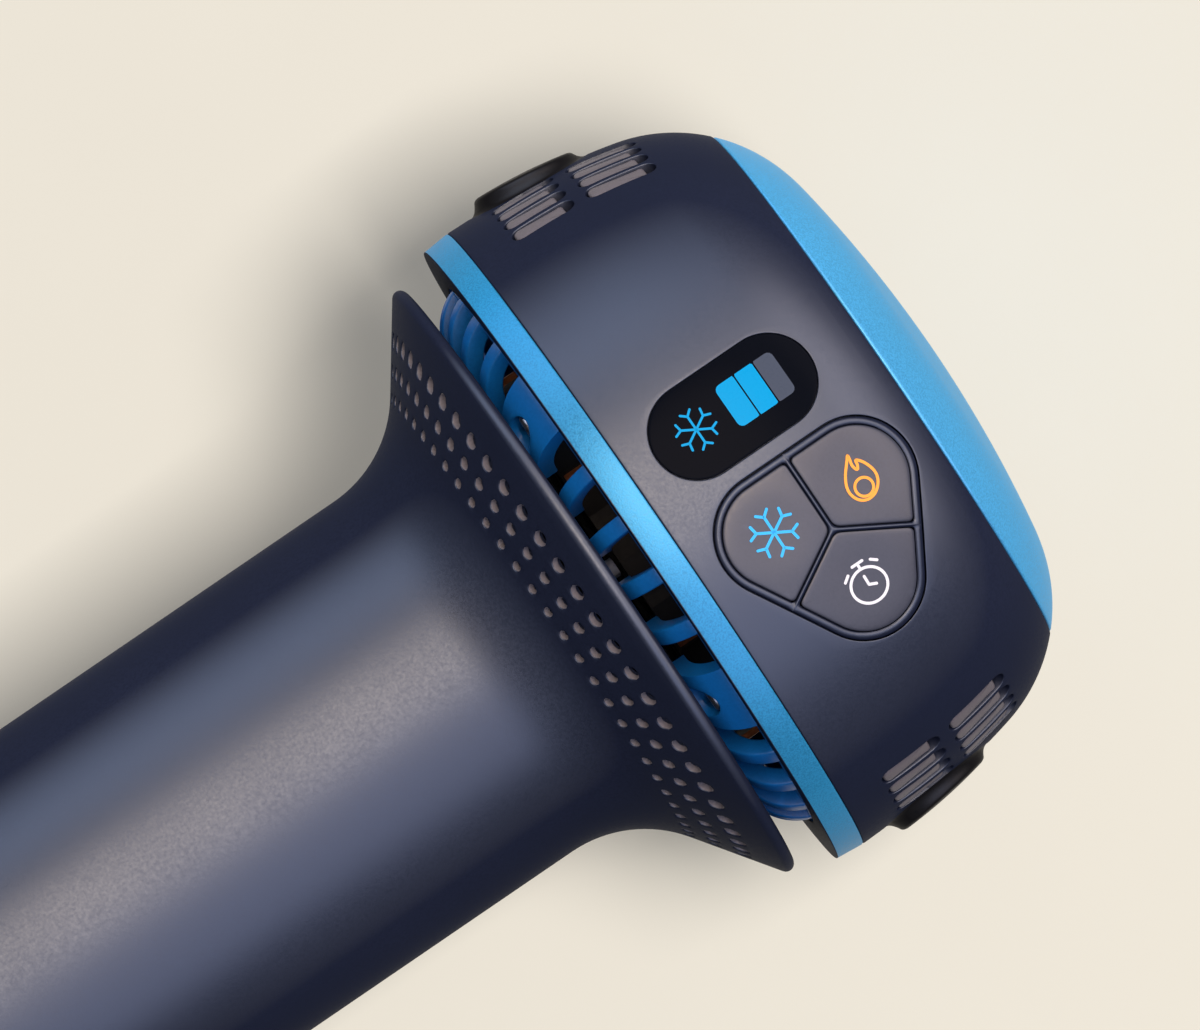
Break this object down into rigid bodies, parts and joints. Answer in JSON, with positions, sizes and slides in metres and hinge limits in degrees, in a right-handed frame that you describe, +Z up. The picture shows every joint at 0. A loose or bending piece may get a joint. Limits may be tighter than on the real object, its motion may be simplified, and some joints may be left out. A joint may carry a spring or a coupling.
{
  "type": "hot cold therapy machine",
  "caption": "Handheld hot and cold therapy device: round handle with a perforated flared bell, vaned collar, and a domed head with contact plate, display and keys.",
  "frame": {"origin": "centre of the underside of the foot pad, on the handle's axis", "axes": "+Z up along the handle towards the contact plate, -Y towards the side with the display and the keys, +X to the right as that side is seen from the front"},
  "size_m": [0.0868, 0.0838, 0.1464],
  "materials": {
    "soft_touch": "soft-touch satin navy-charcoal",
    "anodised_blue": "bead-blasted light blue anodised",
    "vane_blue": "satin moulded",
    "gloss_black": "polished",
    "lens_black": "piano black window",
    "vent_grey": "fine grained",
    "dark_plastic": "moulded",
    "foot_rubber": "fine grained",
    "steel": "plated",
    "copper": "bare copper",
    "cell_wrap": "shrink wrap",
    "circuit_board": "solder mask",
    "white_ceramic": "fired",
    "foam_grey": "closed-cell foam"
  },
  "bodies": {
    "device": {"handle_shell": "soft_touch", "base_cap": "soft_touch", "foot_pad": "foot_rubber", "charge_board": "circuit_board", "charge_port_shell": "steel", "charge_port_insert": "dark_plastic", "battery_cell_1": "cell_wrap", "battery_cell_2": "cell_wrap", "battery_cell_3": "cell_wrap", "battery_cage_lower": "dark_plastic", "battery_cage_upper": "dark_plastic", "neck_frame": "dark_plastic", "neck_screw_1": "steel", "neck_screw_2": "steel", "neck_screw_3": "steel", "neck_screw_4": "steel", "vane_bowl": "vane_blue", "bowl_screw_1": "steel", "bowl_screw_2": "steel", "bowl_screw_3": "steel", "bowl_screw_4": "steel", "trim_ring": "anodised_blue", "side_cap_right": "gloss_black", "side_cap_left": "gloss_black", "vent_louvre_right_front": "vent_grey", "vent_louvre_right_rear": "vent_grey", "vent_louvre_left_front": "vent_grey", "vent_louvre_left_rear": "vent_grey", "head_housing": "soft_touch", "display_lens": "lens_black", "display_module": "dark_plastic", "keypad_surround": "soft_touch", "switch_timer": "dark_plastic", "switch_heat": "dark_plastic", "switch_cold": "dark_plastic", "main_board": "circuit_board", "contact_plate": "anodised_blue", "thermoelectric_module": "white_ceramic", "plate_insulator": "foam_grey", "temperature_sensor": "steel", "heat_sink": "copper", "heat_sink_screw_1": "steel", "heat_sink_screw_2": "steel", "heat_sink_screw_3": "steel", "heat_sink_screw_4": "steel", "fan_frame": "dark_plastic", "fan_stator": "copper"},
    "timer_key": {"button_timer": "soft_touch"},
    "heat_key": {"button_heat": "soft_touch"},
    "cold_key": {"button_cold": "soft_touch"},
    "fan": {"fan_rotor": "dark_plastic"}
  },
  "joints": [
    {"name": "timer_key_press", "type": "slide", "parent": "device", "child": "timer_key", "axis": [0, 1, 0], "range_m": [0, 0.0005], "stiffness_N_per_m": 900},
    {"name": "heat_key_press", "type": "slide", "parent": "device", "child": "heat_key", "axis": [0, 1, 0], "range_m": [0, 0.0005], "stiffness_N_per_m": 900},
    {"name": "cold_key_press", "type": "slide", "parent": "device", "child": "cold_key", "axis": [0, 1, 0], "range_m": [0, 0.0005], "stiffness_N_per_m": 900},
    {"name": "fan_spin", "type": "hinge", "parent": "device", "child": "fan", "pos_m": [0, 0, 0.108], "axis": [0, 0, 1], "continuous": true}
  ]
}
